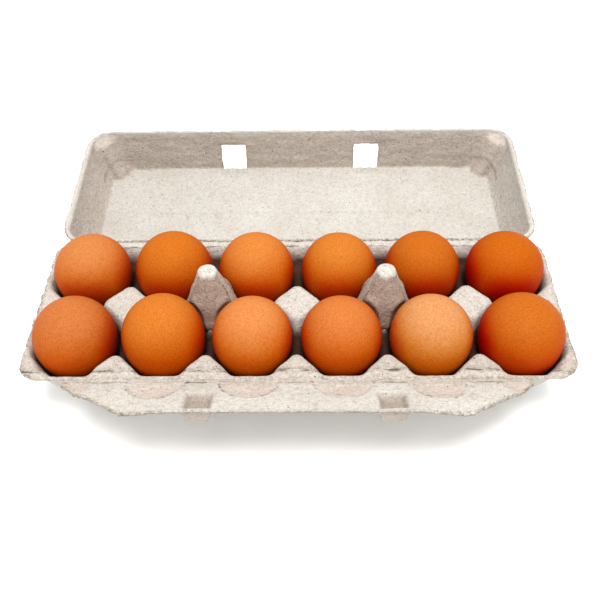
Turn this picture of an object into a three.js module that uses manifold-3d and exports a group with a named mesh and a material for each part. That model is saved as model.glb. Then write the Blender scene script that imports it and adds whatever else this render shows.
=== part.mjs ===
// An open egg carton of moulded paper pulp with twelve brown eggs in it.
// The tray stands on its cups, the lid lies open behind it and the lock flap leans out in front.
// Millimetres, +X to the carton's right, +Y towards the lid, +Z up.
import * as THREE from "three";
import { mergeVertices } from "three/addons/utils/BufferGeometryUtils.js";
import Module from "manifold-3d";

const wasm = await Module();
wasm.setup();

// The grid of cups, and the heights that the whole carton shares.
const COLUMNS = 6;
const PITCH_X = 48;
const PITCH_Y = 49.2;
const PULP = 2;
const RIM_Z = 34;
const WEB_Z = 24;
const POST_SLOPE = Math.tan(THREE.MathUtils.degToRad(60));

// The tray's outline at the rim.
const TRAY_HALF_X = 147;
const TRAY_HALF_Y = 51;
const TRAY_CORNER = 12;
const RIM_INNER_X = 138;
const RIM_INNER_Y = 45.5;
const RIM_STEP_Y = -45.6;
const WELL_CORNER = 4;

// Along the flap the rim is cut back to this line, a little wider than the flap's root.
const FLAP_GAP = { y: -50.85, aside: 2.5, deep: 10, high: 20 };

// How far a block that is cut away reaches past what it cuts.
const PAST = 6;

// One cup inside: height, distance from its axis to its flat sides, and how square-cut it is,
// from 0 for a round section to 1 for a regular octagon.
const CUP_SIDES = 24;
const CUP_WALL = 2.1;
const CUP_FOOT = { z: 0, flat: 10.9, octagon: 0 };
const CUP_RINGS = [
  { z: 2.2, flat: 11.5, octagon: 0 },
  { z: 12, flat: 16.9, octagon: 0.25 },
  { z: WEB_Z, flat: 21.9, octagon: 0.6 },
  { z: RIM_Z, flat: 23.5, octagon: 1 },
];
// Above the rim the posts are hollowed to follow the eggs.
const EGG_RELIEF_RINGS = [
  { z: 40, flat: 23.5, octagon: 1 },
  { z: 49, flat: 20.9, octagon: 0.6 },
  { z: 57, flat: 14.6, octagon: 0.3 },
  { z: 63, flat: 5, octagon: 0 },
];

// Posts between the cups: half the width of the flat top, and the height of that top. The two
// tall ones have steeper sides.
const LOW_POST = { half: 12, top: 36 };
const RIM_POST = { half: 12, top: 36.5 };
const SIDE_POST = { half: 12, top: RIM_Z };
const TALL_POST = { half: 4.5, top: 61.6, slope: Math.tan(THREE.MathUtils.degToRad(70)) };

// Eggs stand blunt end up. One list per row, from left to right: radius, and height above and
// below the widest plane.
const EGG_WIDEST_Z = 36;
const EGG_DRAWN_IN = 0.09;
const EGG_ROWS = 10;
const EGG_SIDES = 16;
const FRONT_EGGS = [
  { r: 21.9, up: 22.6, down: 31.6 },
  { r: 22.4, up: 24.8, down: 31.8 },
  { r: 21.8, up: 22.0, down: 31.4 },
  { r: 21.9, up: 21.8, down: 31.2 },
  { r: 22.1, up: 23.0, down: 31.6 },
  { r: 22.6, up: 23.8, down: 31.9 },
];
const BACK_EGGS = [
  { r: 21.5, up: 21.4, down: 31.2 },
  { r: 22.2, up: 24.0, down: 31.7 },
  { r: 21.8, up: 22.4, down: 31.4 },
  { r: 21.5, up: 22.0, down: 31.3 },
  { r: 21.6, up: 23.0, down: 31.2 },
  { r: 21.7, up: 21.8, down: 31.5 },
];

// The lid: its hinge line, its tilt above flat when it lies open, and its shell.
const LID_HINGE_Y = 50.6;
const LID_HINGE_Z = RIM_Z + 0.2;
const LID_OPEN_TILT = 4.5;
const LID_HALF_X = 146.8;
const LID_NEAR = 0.5;
const LID_LENGTH = 105.8;
const LID_LIP = { front: 0.6, back: 0.6, side: 1.6, step: 0.3 };
const LID_FRONT_ARCH = { drop: 1.8, from: 86, to: 98 };
const LID_DEPTH = 31;
const LID_CORNER = 14;
const LID_LEAN_SIDE = Math.tan(THREE.MathUtils.degToRad(16));
const LID_LEAN_FRONT = Math.tan(THREE.MathUtils.degToRad(10));
const LID_STEEP = 0.09;
const LID_WALL_FALLS = [12, 20];
const LID_FILLET = 3;
const PAD = { push: 3, corner: 14, top: 2.6, ledge: 6 };
const LOCK_X = 47.3;
const LOCK_HOLE = { width: 17.4, low: 11.2, high: 30.5, through: 24 };

// The lock flap: its hinge line, its tilt at rest, and its outline. The outline gives half the
// width at each distance from the hinge, and the free edge droops into a soft ear at each end.
const FLAP_HINGE_Y = -52;
const FLAP_HINGE_Z = RIM_Z - 0.8;
const FLAP_OPEN_TILT = 30;
const FLAP_PULP = { root: 1, sheet: 1.8, full: 7 };
const FLAP_ROOT = 1;
const FLAP_ROWS = [FLAP_ROOT, 3.5, 6.4, 9.4, 12.8, 16.6, 21.3, 26.4, 33.2];
const FLAP_ACROSS = 50;
const FLAP_REACH = { middle: 33.2, ear: 31.4, earFrom: 58, earTo: 82, droop: 2.8 };
const FLAP_OUTLINE = [
  { v: 0, half: 121.5 },
  { v: 5.5, half: 120.5 },
  { v: 13, half: 112.5 },
  { v: 26, half: 94 },
  { v: 33.2, half: 84 },
];
const DENT = { half: 16, reach: 20, depth: 2.2, under: 0.6, from: 0.5, to: 7 };
const BUTTON = {
  width: 15.2,
  near: 13.1,
  far: 31.6,
  rise: 6,
  taper: 2,
  nearTaper: 3.4,
  wall: 1.8,
  corner: 2,
  base: 0.1,
};

const pulp = new THREE.MeshStandardMaterial({ color: 0xd8cfc6, roughness: 0.95, metalness: 0 });
const shell = new THREE.MeshStandardMaterial({ color: 0xc9713a, roughness: 0.55, metalness: 0 });

const range = (count, make) => Array.from({ length: count }, (_, i) => make(i));

// A closed mesh becomes a solid that can be joined and cut.
function solid(geometry) {
  const bare = geometry.clone();
  bare.deleteAttribute("normal");
  bare.deleteAttribute("uv");
  const merged = mergeVertices(bare, 1e-4);
  return new wasm.Manifold(
    new wasm.Mesh({
      numProp: 3,
      vertProperties: merged.attributes.position.array,
      triVerts: new Uint32Array(merged.index.array),
    }),
  );
}

// A solid comes back as a geometry.
function geometryOf(made) {
  const { vertProperties, triVerts } = made.getMesh();
  const geometry = new THREE.BufferGeometry();
  geometry.setAttribute("position", new THREE.Float32BufferAttribute(vertProperties, 3));
  geometry.setIndex([...triVerts]);
  return geometry;
}

function join(solids) {
  return solids.reduce((all, next) => all.add(next));
}

// Rings of points, lowest first and each seen anticlockwise from above, skinned into one
// closed body with a flat cap at both ends.
function loft(rings) {
  const count = rings[0].length;
  const middle = (ring) => ring.reduce((sum, p) => sum.add(p), new THREE.Vector3()).divideScalar(count);
  const points = [...rings.flat(), middle(rings[0]), middle(rings.at(-1))];
  const low = points.length - 2;
  const high = points.length - 1;
  const faces = [];
  for (let i = 0; i < count; i++) {
    const j = (i + 1) % count;
    rings.slice(1).forEach((_, k) => {
      const a = k * count + i;
      const b = k * count + j;
      faces.push(a, b, b + count, a, b + count, a + count);
    });
    const top = (rings.length - 1) * count;
    faces.push(low, j, i, high, top + i, top + j);
  }
  const geometry = new THREE.BufferGeometry().setFromPoints(points);
  geometry.setIndex(faces);
  return geometry;
}

// A rounded rectangle as a ring of points at one height: half sizes, corner radius and steps,
// and a radius of their own for the two corners on the low side of Y where they differ.
function roundedRing(halfX, halfY, farCorner, z, steps = 5, nearCorner = farCorner) {
  const ring = [];
  for (let quarter = 0; quarter < 4; quarter++) {
    const sx = quarter === 0 || quarter === 3 ? 1 : -1;
    const sy = quarter < 2 ? 1 : -1;
    const corner = sy > 0 ? farCorner : nearCorner;
    for (let i = 0; i <= steps; i++) {
      const angle = ((quarter + i / steps) * Math.PI) / 2;
      ring.push(
        new THREE.Vector3(
          sx * (halfX - corner) + corner * Math.cos(angle),
          sy * (halfY - corner) + corner * Math.sin(angle),
          z,
        ),
      );
    }
  }
  return ring;
}

// A block with a rectangular plan and four sloping sides, from its underside to its top.
function frustum(x, y, bottom, bottomHalf, top, topHalf) {
  const square = (half, z) =>
    [[1, 1], [-1, 1], [-1, -1], [1, -1]].map(
      ([sx, sy]) => new THREE.Vector3(x + sx * half, y + sy * half, z),
    );
  return solid(loft([square(bottomHalf, bottom), square(topHalf, top)]));
}

// The tray's webs, rim and posts as one solid block, every face moved inwards by "inset".
// Cut from each other, two of these leave a skin of even thickness.
function deck(inset) {
  const grow = inset > 0 ? PAST : 0;
  const foot = inset > 0 ? -PAST : 0;
  const asideAt = (slope) => inset * Math.hypot(1, 1 / slope) - inset / slope;
  const outline = (z) => roundedRing(TRAY_HALF_X + grow, TRAY_HALF_Y + grow, TRAY_CORNER, z);
  const web = solid(loft([outline(foot), outline(WEB_Z - inset)]));
  const rimBlock = solid(loft([outline(foot), outline(RIM_Z - inset)]));
  const wellRing = (z) => {
    const out = asideAt(POST_SLOPE) + (z - RIM_Z) / POST_SLOPE;
    return roundedRing(RIM_INNER_X + out, RIM_INNER_Y + out, WELL_CORNER, z - inset, 2);
  };
  const well = solid(loft([wellRing(0), wellRing(RIM_Z + PAST)]));
  const post = ({ half, top, slope = POST_SLOPE }, x, y) => {
    const low = WEB_Z - PAST;
    const narrow = half - asideAt(slope);
    return frustum(x, y, low - inset, narrow + (top - low) / slope, top - inset, narrow);
  };
  const boundaries = range(COLUMNS - 1, (i) => (i + 1 - COLUMNS / 2) * PITCH_X);
  const tall = (x) => Math.abs(x) === PITCH_X;
  const middlePosts = boundaries.map((x) => post(tall(x) ? TALL_POST : LOW_POST, x, 0));
  const sidePosts = [-1, 1].map((s) => post(SIDE_POST, s * (COLUMNS / 2) * PITCH_X, 0));
  const slab = solid(new THREE.BoxGeometry(4 * TRAY_HALF_X, TRAY_HALF_Y, 4 * TALL_POST.top));
  const behindStep = slab.translate([0, RIM_STEP_Y + inset - TRAY_HALF_Y / 2, 0]);
  const rimPosts = boundaries.map((x) => post(RIM_POST, x, -PITCH_Y).subtract(behindStep));
  const raised = join([...middlePosts, ...sidePosts, ...rimPosts]).intersect(
    solid(loft([outline(-PAST), outline(TALL_POST.top + PAST)])),
  );
  return join([web, rimBlock.subtract(well), raised]);
}

// One cup: rings whose distance from the axis is the flat distance towards the middle of each
// side, and swells towards the octagon's corners by the given share.
function cup(x, y, rings, wall) {
  const side = Math.PI / 4;
  return solid(
    loft(
      rings.map(({ z, flat, octagon }) =>
        range(CUP_SIDES, (i) => {
          const angle = ((i + 0.5) * 2 * Math.PI) / CUP_SIDES;
          const off = angle - side * Math.round(angle / side);
          const radius = (flat + wall) * (1 + octagon * (1 / Math.cos(off) - 1));
          return new THREE.Vector3(x + radius * Math.cos(angle), y + radius * Math.sin(angle), z);
        }),
      ),
    ),
  );
}

const columnX = (i) => (i - (COLUMNS - 1) / 2) * PITCH_X;
const centres = [-1, 1].flatMap((row) =>
  range(COLUMNS, (i) => [columnX(i), (row * PITCH_Y) / 2]),
);

function trayGeometry() {
  const skin = deck(0).subtract(deck(PULP));
  const inside = [...CUP_RINGS, ...EGG_RELIEF_RINGS];
  const outside = [CUP_FOOT, ...inside.slice(1)];
  const walls = join(centres.map(([x, y]) => cup(x, y, outside, CUP_WALL)));
  const hollows = join(centres.map(([x, y]) => cup(x, y, inside, 0)));
  const { y, aside, deep, high } = FLAP_GAP;
  const beforeFlap = solid(new THREE.BoxGeometry(2 * (FLAP_OUTLINE[0].half + aside), deep, high));
  const rimCut = beforeFlap.translate([0, y - deep / 2, RIM_Z]);
  return geometryOf(join([skin, walls.intersect(deck(0))]).subtract(join([hollows, rimCut])));
}

// An egg: a half ellipse above the widest plane, and below it a longer one drawn in a little
// towards its point.
function eggGeometry({ r, up, down }) {
  const profile = range(EGG_ROWS + 1, (i) => {
    const turn = (i / EGG_ROWS - 0.5) * Math.PI;
    const low = Math.max(0, -Math.sin(turn));
    const radius = r * Math.cos(turn) * (1 - EGG_DRAWN_IN * low * low);
    const ends = i === 0 || i === EGG_ROWS;
    return new THREE.Vector2(ends ? 0 : radius, Math.sin(turn) * (low > 0 ? down : up));
  });
  return new THREE.LatheGeometry(profile, EGG_SIDES).rotateX(Math.PI / 2);
}

// How far the back and side walls have come in at one fall: they start steep beside the eggs'
// widest parts and lean more towards the floor.
function lidBow(fall, lean) {
  return fall * LID_STEEP + ((lean - LID_STEEP) * fall * fall) / LID_DEPTH;
}

// One ring of the lid's shell, which opens upwards with its hinge edge at y = 0 and its rim at
// z = 0. The ring lies "inset" inside the lip's outer edge and "depth" below the rim, and "fall"
// is how far down the leaning walls it comes. Below a ledge the far corners are pushed in.
function lidRing(inset, fall, depth) {
  const front = LID_LENGTH - inset.front - fall * LID_LEAN_FRONT;
  const back = LID_NEAR + inset.back + lidBow(fall, LID_LEAN_FRONT);
  const halfX = LID_HALF_X - inset.side - lidBow(fall, LID_LEAN_SIDE);
  const halfY = (front - back) / 2;
  const pad = THREE.MathUtils.smoothstep(fall, PAD.top, PAD.ledge);
  const corner = THREE.MathUtils.lerp(LID_CORNER - inset.front, PAD.corner, pad);
  const arch = fall > 0 ? 0 : LID_FRONT_ARCH.drop;
  return roundedRing(halfX, halfY, corner, -depth, 7, LID_CORNER - inset.side).map((p) => {
    const aside = Math.max(0, Math.abs(p.x) - halfX + corner);
    const beyond = Math.max(0, p.y - halfY + corner);
    const push = (pad * PAD.push * 2 * aside * beyond) / (corner * corner);
    const y = p.y - push * Math.SQRT1_2 + (front + back) / 2;
    const drop = arch * THREE.MathUtils.smoothstep(y, LID_FRONT_ARCH.from, LID_FRONT_ARCH.to);
    return new THREE.Vector3(p.x - Math.sign(p.x) * push * Math.SQRT1_2, y, p.z - drop);
  });
}

function lidGeometry() {
  const widen = (by) => ({
    front: LID_LIP.front + by,
    back: LID_LIP.back + by,
    side: LID_LIP.side + by,
  });
  const bend = 0.3 * LID_FILLET;
  const padFalls = [PAD.top, (PAD.top + PAD.ledge) / 2, PAD.ledge];
  const falls = [...padFalls, ...LID_WALL_FALLS, LID_DEPTH - LID_FILLET];
  const section = [
    ...falls.map((fall) => [0, fall]),
    [bend, LID_DEPTH - bend],
    [LID_FILLET, LID_DEPTH],
  ];
  const none = { front: 0, back: 0, side: 0 };
  const inner = [[0, 0], ...section].map(([by, fall]) => [widen(PULP + by), fall, fall]);
  const outer = [
    [none, 0, 0],
    [none, 0, PULP],
    [widen(0), 0, PULP + LID_LIP.step],
    ...section.map(([by, fall]) => [widen(by), fall, PULP + fall]),
  ];
  const rings = [...outer.reverse(), ...inner].map(([inset, fall, depth]) =>
    lidRing(inset, fall, depth),
  );
  const { width, low, high, through } = LOCK_HOLE;
  const hole = (x) =>
    solid(new THREE.BoxGeometry(width, through, high - low)).translate([x, LID_LENGTH, -(low + high) / 2]);
  return geometryOf(solid(loft(rings)).subtract(join([-LOCK_X, LOCK_X].map(hole))));
}

// The flap lies in its own plane, u along the hinge and v away from it.
function flapHalfWidth(v) {
  const i = FLAP_OUTLINE.findIndex((p) => p.v >= v);
  if (i < 1) return FLAP_OUTLINE.at(i).half;
  const [a, b] = [FLAP_OUTLINE[i - 1], FLAP_OUTLINE[i]];
  return THREE.MathUtils.mapLinear(v, a.v, b.v, a.half, b.half);
}

const earShare = (u) => THREE.MathUtils.smoothstep(Math.abs(u), FLAP_REACH.earFrom, FLAP_REACH.earTo);
const flapReach = (u) => THREE.MathUtils.lerp(FLAP_REACH.middle, FLAP_REACH.ear, earShare(u));
const droop = (u, v) => FLAP_REACH.droop * earShare(u) * (v / FLAP_REACH.ear) ** 2;

// A half-round dish at each cup leaves room for the egg when the flap is folded up.
function dent(u, v) {
  const nearest = PITCH_X * (Math.round(u / PITCH_X - 0.5) + 0.5);
  const bowl = 1 - ((u - nearest) / DENT.half) ** 2 - (v / DENT.reach) ** 2;
  return Math.max(0, bowl) * THREE.MathUtils.smoothstep(v, DENT.from, DENT.to);
}

function flapSheet() {
  const across = FLAP_ACROSS;
  const points = [1, -1].flatMap((face) =>
    FLAP_ROWS.flatMap((row) =>
      range(across + 1, (i) => {
        const u = ((2 * i) / across - 1) * flapHalfWidth(row);
        const v = row > FLAP_ROOT ? (row * flapReach(u)) / FLAP_REACH.middle : row;
        const grown = THREE.MathUtils.smoothstep(v, FLAP_ROOT, FLAP_PULP.full);
        const half = THREE.MathUtils.lerp(FLAP_PULP.root, FLAP_PULP.sheet, grown) / 2;
        const sunk = dent(u, v) * (face > 0 ? DENT.depth : DENT.under) + droop(u, v);
        return new THREE.Vector3(u, -v, face * half - sunk);
      }),
    ),
  );
  const wide = across + 1;
  const sheet = wide * FLAP_ROWS.length;
  const faces = [];
  const quad = (a, b, c, d) => faces.push(a, b, c, a, c, d);
  for (let k = 0; k < FLAP_ROWS.length - 1; k++) {
    for (let i = 0; i < across; i++) {
      const a = k * wide + i;
      quad(a, a + wide, a + wide + 1, a + 1);
      quad(sheet + a, sheet + a + 1, sheet + a + wide + 1, sheet + a + wide);
    }
    const left = k * wide;
    const right = left + across;
    quad(left, sheet + left, sheet + left + wide, left + wide);
    quad(right, right + wide, sheet + right + wide, sheet + right);
  }
  const last = sheet - wide;
  for (let i = 0; i < across; i++) {
    quad(i, i + 1, sheet + i + 1, sheet + i);
    quad(last + i, sheet + last + i, sheet + last + i + 1, last + i + 1);
  }
  const geometry = new THREE.BufferGeometry().setFromPoints(points);
  geometry.setIndex(faces);
  return solid(geometry);
}

// A hollow tapered button, closed at its outer end below the sheet. "inset" makes the block
// that hollows it out.
function lockBlock(x, inset, top, bottom) {
  const ring = (side, near, far, z) =>
    roundedRing(BUTTON.width / 2 - side, (far - near) / 2, BUTTON.corner, z, 2).map((p) =>
      p.add(new THREE.Vector3(x, -(near + far) / 2, 0)),
    );
  const { near, far, taper, nearTaper } = BUTTON;
  return solid(
    loft([
      ring(inset + taper, near + inset + nearTaper, far - inset - taper, bottom),
      ring(inset, near + inset, far - inset, top),
    ]),
  );
}

function flapGeometry() {
  const end = -FLAP_PULP.sheet / 2 - BUTTON.rise;
  const both = [-LOCK_X, LOCK_X];
  const buttons = join(both.map((x) => lockBlock(x, 0, BUTTON.base, end)));
  const recesses = join(both.map((x) => lockBlock(x, BUTTON.wall, PULP, end + BUTTON.wall)));
  return geometryOf(flapSheet().add(buttons).subtract(recesses));
}

const carton = new THREE.Group();

function place(parent, name, geometry, material) {
  const mesh = new THREE.Mesh(geometry, material);
  mesh.name = name;
  parent.add(mesh);
  return mesh;
}

place(carton, "tray", trayGeometry(), pulp);

[FRONT_EGGS, BACK_EGGS].forEach((eggs, row) => {
  eggs.forEach((size, i) => {
    const egg = place(carton, `egg_${row ? "back" : "front"}_${i + 1}`, eggGeometry(size), shell);
    egg.position.set(columnX(i), (row - 0.5) * PITCH_Y, EGG_WIDEST_Z);
  });
});

const openLid = new THREE.Group();
openLid.position.set(0, LID_HINGE_Y, LID_HINGE_Z);
openLid.rotation.x = THREE.MathUtils.degToRad(LID_OPEN_TILT);
carton.add(openLid);
place(openLid, "lid", lidGeometry(), pulp).position.z = RIM_Z - LID_HINGE_Z;

const openFlap = new THREE.Group();
openFlap.position.set(0, FLAP_HINGE_Y, FLAP_HINGE_Z);
openFlap.rotation.x = -THREE.MathUtils.degToRad(FLAP_OPEN_TILT);
carton.add(openFlap);
place(openFlap, "flap", flapGeometry(), pulp);

// The origin is under the middle of the whole open carton.
const extent = new THREE.Box3().setFromObject(carton, true);
carton.position.y = -(extent.min.y + extent.max.y) / 2;

export default carton;
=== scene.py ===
"""An open carton of moulded paper pulp with twelve brown eggs in it: the looks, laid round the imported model.

Lengths in this file are millimetres, and each mesh is scaled to metres as it is made.
"""

import math

import bmesh
import bpy
import numpy as np
from mathutils import Matrix, Vector


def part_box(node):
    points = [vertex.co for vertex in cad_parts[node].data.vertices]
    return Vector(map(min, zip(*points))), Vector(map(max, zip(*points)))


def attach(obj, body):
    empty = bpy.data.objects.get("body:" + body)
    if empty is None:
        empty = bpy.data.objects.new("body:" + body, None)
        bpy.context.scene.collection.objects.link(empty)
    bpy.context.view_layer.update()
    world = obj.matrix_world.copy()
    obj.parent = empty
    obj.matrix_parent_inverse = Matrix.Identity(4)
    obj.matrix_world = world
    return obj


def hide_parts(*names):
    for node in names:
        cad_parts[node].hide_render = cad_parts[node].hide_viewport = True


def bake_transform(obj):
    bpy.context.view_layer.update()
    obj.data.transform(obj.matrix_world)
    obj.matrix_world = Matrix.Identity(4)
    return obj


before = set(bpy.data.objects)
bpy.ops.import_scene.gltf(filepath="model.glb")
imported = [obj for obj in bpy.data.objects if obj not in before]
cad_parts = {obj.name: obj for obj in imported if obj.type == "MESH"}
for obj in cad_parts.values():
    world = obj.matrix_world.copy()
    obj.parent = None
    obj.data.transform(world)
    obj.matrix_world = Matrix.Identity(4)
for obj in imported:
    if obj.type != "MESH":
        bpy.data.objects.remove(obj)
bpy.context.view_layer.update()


# ---- Tray ----
# The tray is one moulding of grey paper pulp: two rows of six cups, posts between them and a flat rim all
# round. Wet pulp was drawn onto a mesh mould, pressed and dried, so that no face is quite even and the rim
# is frayed.

MM = 0.001
tray_low, tray_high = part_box("tray")
TRAY_Y = (tray_low.y + tray_high.y) / 2 / MM
COLUMNS = 6
PITCH_X = 48.0
PITCH_Y = 49.2
PULP = 2.0
THINNEST = 0.35
EDGE_TOP, EDGE_UNDER = 0.8, 0.7
RIM_Z = 34.0
WEB_Z = 24.0
POST_SLOPE = math.tan(math.radians(60))
TRAY_HALF = (147.0, 51.0)
TRAY_CORNER = 12.0
TRAY_ROWS, TRAY_COLUMNS, CORNER_ROWS = 281, 108, 15
WELL_HALF = (138.0, 45.5)
FLAP_NOTCH = (124.0, -50.85)
STEP_Y = -45.6
CUP_Z = (2.2, 12.0, 24.0, 34.0)
CUP_FLAT = (11.5, 16.9, 21.9, 23.5)
CUP_OCTAGON = (0.0, 0.25, 0.6, 1.0)
HOLLOW_Z = (24.0, 34.0, 40.0, 49.0, 57.0, 63.0)
HOLLOW_FLAT = (21.9, 23.5, 23.5, 20.9, 14.6, 5.0)
LOW_POST = (12.0, 36.0)
RIM_POST = (12.0, 36.5)
TALL_POST = (4.5, 61.6)
TALL_SLOPE = math.tan(math.radians(70))
TALL_FOOT_Z = 29.0
TALL_RINGS, TALL_SIDES = 34, 120
TALL_CUT_Z = 33.0
TALL_CROWN, TALL_CAP, TALL_PALE_TIP = 0.9, 1.6, (1.1, 1.7)
LOW_POST_CAP, LOW_POST_UNDER = 37, 35
RIM_LINE_Y, STEP_LINE_Y, REAR_FOLD_Y = -46.4, -45.4, 45.4
# The tints: worn edges, painted warm shade, painted brown shade, painted darker shade, splits and specks.
TINTS = ("worn", "warm_shade", "brown_shade", "shaded", "split", "specked")
PULP_DULL, PULP_PALE = (0.452, 0.432, 0.396, 1), (0.485, 0.470, 0.438, 1)
MATTED_TAN, GRAIN_BROWN = (0.270, 0.225, 0.175, 1), (0.180, 0.140, 0.105, 1)
# The colours of the painted shade: warmer, browner and darker.
WARM_SHADE_CAST, BROWN_SHADE_CAST, SHADED_CAST = (0.96, 0.88, 0.84, 1), (0.50, 0.305, 0.230, 1), (0.22, 0.17, 0.15, 1)
SHRED_BROWN, HAIR_BROWN = (0.135, 0.100, 0.068, 1), (0.080, 0.055, 0.036, 1)
FLECK_DARK, TORN_DARK = (0.040, 0.028, 0.020, 1), (0.050, 0.032, 0.022, 1)


def lattice_noise(points, size, seed):
    """Smooth noise from -1 to 1. Random values sit on the corners of a lattice of cells of the given size,
    and a point takes their mean, weighted along each axis by the smooth step 3t^2 - 2t^3 of its place in
    the cell."""
    table = np.random.default_rng(seed).uniform(-1, 1, (32, 32, 32))
    cell = points / size
    base = np.floor(cell).astype(int)
    t = cell - base
    t = t * t * (3 - 2 * t)
    total = 0.0
    for corner in np.ndindex(2, 2, 2):
        at = (base + corner) % 32
        weight = np.prod(np.where(corner, t, 1 - t), axis=-1)
        total = total + weight * table[at[..., 0], at[..., 1], at[..., 2]]
    return total


def smooth_step(x, low, high):
    """0 below low, 1 above high, and 3t^2 - 2t^3 between them."""
    t = np.clip((x - low) / (high - low), 0, 1)
    return t * t * (3 - 2 * t)


def bell(x, middle, width):
    """1 at the middle, falling off to both sides as exp(-((x - middle) / width)^2)."""
    return np.exp(-(((x - middle) / width) ** 2))


def soften(grid, passes, axes=(0, 1)):
    """Each value becomes a quarter of its two neighbours and half of itself, along each axis, so many times
    over. The outermost values stay."""
    for _ in range(passes):
        for axis in axes:
            g = np.moveaxis(grid, axis, 0)
            g = np.concatenate([g[:1], (g[:-2] + 2 * g[1:-1] + g[2:]) / 4, g[-1:]])
            grid = np.moveaxis(g, 0, axis)
    return grid


def unit_normals(grid, wrap=False):
    """The cross product of the steps along the rows and along the columns of a grid of points, at length
    one."""
    down = np.gradient(grid, axis=0)
    if wrap:
        along = (np.roll(grid, -1, axis=1) - np.roll(grid, 1, axis=1)) / 2
    else:
        along = np.gradient(grid, axis=1)
    normal = np.cross(down, along)
    return normal / np.maximum(np.linalg.norm(normal, axis=-1, keepdims=True), 1e-9)


def uneven(grid, seed, amount=1.0, wrap=False):
    """Pulp never dries flat: each point moves along its normal by noise of three sizes, 14, 5 and 2 mm."""
    rise = (
        0.22 * lattice_noise(grid, 14.0, seed)
        + 0.13 * lattice_noise(grid, 5.0, seed + 1)
        + 0.07 * lattice_noise(grid, 2.0, seed + 2)
    )
    return grid + unit_normals(grid, wrap) * (amount * rise)[..., None]


def skin(face, back, keep=None, wrap=False):
    """A sheet with two sides, as points and four-cornered faces. face and back are grids of points with the
    same rows and columns. Each kept square has a face on both sides, and each edge of what is kept gets a
    wall between them. With wrap the last column joins the first. The faces are turned round if the volume
    comes out negative."""
    rows, columns = face.shape[:2]
    index = np.arange(rows * columns).reshape(rows, columns)
    if wrap:
        index = np.concatenate([index, index[:, :1]], axis=1)
    if keep is None:
        keep = np.ones((index.shape[0] - 1, index.shape[1] - 1), bool)
    corners = [index[:-1, :-1], index[1:, :-1], index[1:, 1:], index[:-1, 1:]]
    other = rows * columns
    faces = [np.stack([c[keep] for c in corners], -1)]
    faces.append(np.stack([c[keep] + other for c in corners[::-1]], -1))
    padded = np.pad(keep, 1)
    if wrap:
        padded[:, 0], padded[:, -1] = padded[:, -2], padded[:, 1]
    beyond = [padded[1:-1, :-2], padded[2:, 1:-1], padded[1:-1, 2:], padded[:-2, 1:-1]]
    for side, neighbour in enumerate(beyond):
        a, b = corners[side], corners[(side + 1) % 4]
        edge = keep & ~neighbour
        faces.append(np.stack([b[edge], a[edge], a[edge] + other, b[edge] + other], -1))
    points = np.concatenate([face.reshape(-1, 3), back.reshape(-1, 3)])
    return points, turned_outwards(points, np.concatenate(faces))


def turned_outwards(points, faces):
    """The faces, each reversed if the volume they close, a sixth of the sum of a . (b x c), is below
    zero."""
    a, b, c, d = (points[faces[:, i]] for i in range(4))
    volume = (a * np.cross(b, c)).sum() + (a * np.cross(c, d)).sum()
    return faces if volume > 0 else faces[:, ::-1]


def piece(name, shells, material, tints=None):
    """One smooth-shaded mesh from one or more shells of (points, faces). tints holds, for each shell, the
    tints of both its sides by name, kept on the mesh as attributes. Points at the same place are merged,
    which closes poles, and points that no face uses are dropped."""
    starts = np.cumsum([0] + [len(points) for points, _ in shells])
    points = np.concatenate([points for points, _ in shells]) * MM
    faces = np.concatenate([faces + start for (_, faces), start in zip(shells, starts)])
    mesh = bpy.data.meshes.new(name)
    mesh.vertices.add(len(points))
    mesh.vertices.foreach_set("co", points.astype(np.float32).ravel())
    mesh.loops.add(faces.size)
    mesh.loops.foreach_set("vertex_index", faces.astype(np.int32).ravel())
    mesh.polygons.add(len(faces))
    mesh.polygons.foreach_set("loop_start", np.arange(0, faces.size, 4, dtype=np.int32))
    mesh.update(calc_edges=True)
    for tint in TINTS if tints else ():
        sides = [np.broadcast_to(side.get(tint, 0), side["like"].shape).ravel()
                 for both in tints for side in both]
        layer = mesh.attributes.new(tint, "FLOAT", "POINT")
        layer.data.foreach_set("value", np.concatenate(sides).astype(np.float32))
    form = bmesh.new()
    form.from_mesh(mesh)
    bmesh.ops.delete(form, geom=[v for v in form.verts if not v.link_faces], context="VERTS")
    bmesh.ops.remove_doubles(form, verts=form.verts, dist=2e-6)
    form.to_mesh(mesh)
    form.free()
    mesh.polygons.foreach_set("use_smooth", np.ones(len(mesh.polygons), bool))
    mesh.validate()
    made = bpy.data.objects.new(name, mesh)
    bpy.context.scene.collection.objects.link(made)
    made.data.materials.append(material)
    return made


def nodes_of(material):
    """Clears a new material's nodes and returns a function that adds one node. Its inputs are given by name
    or number, each a value or another node's output."""
    material.use_nodes = True
    tree = material.node_tree
    tree.nodes.clear()

    def add(kind, inputs=None, **settings):
        made = tree.nodes.new(kind)
        for name, value in settings.items():
            setattr(made, name, value)
        for key, value in (inputs or {}).items():
            if isinstance(value, bpy.types.NodeSocket):
                tree.links.new(value, made.inputs[key])
            else:
                made.inputs[key].default_value = value
        return made

    return add


def blotches(add, place, size, detail=2.0, distortion=0.0, roughness=0.5):
    """Noise with features of the given size in millimetres, from about 0.3 to 0.7."""
    inputs = {"Vector": place, "Scale": 1 / (size * MM), "Detail": detail}
    inputs.update({"Distortion": distortion, "Roughness": roughness})
    return add("ShaderNodeTexNoise", inputs).outputs["Fac"]


def between(add, value, low, high, first=0.0, last=1.0):
    """value from low to high becomes first to last, and is held beyond them."""
    inputs = {"Value": value, "From Min": low, "From Max": high, "To Min": first, "To Max": last}
    return add("ShaderNodeMapRange", inputs).outputs["Result"]


def times(add, a, b):
    return add("ShaderNodeMath", {0: a, 1: b}, operation="MULTIPLY").outputs[0]


def tinted(add, share, base, over, how="MIX"):
    """The colour base, going over to the colour over by the share."""
    made = add("ShaderNodeMix", {0: share, 6: base, 7: over}, data_type="RGBA", blend_type=how)
    return made.outputs[2]


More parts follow.
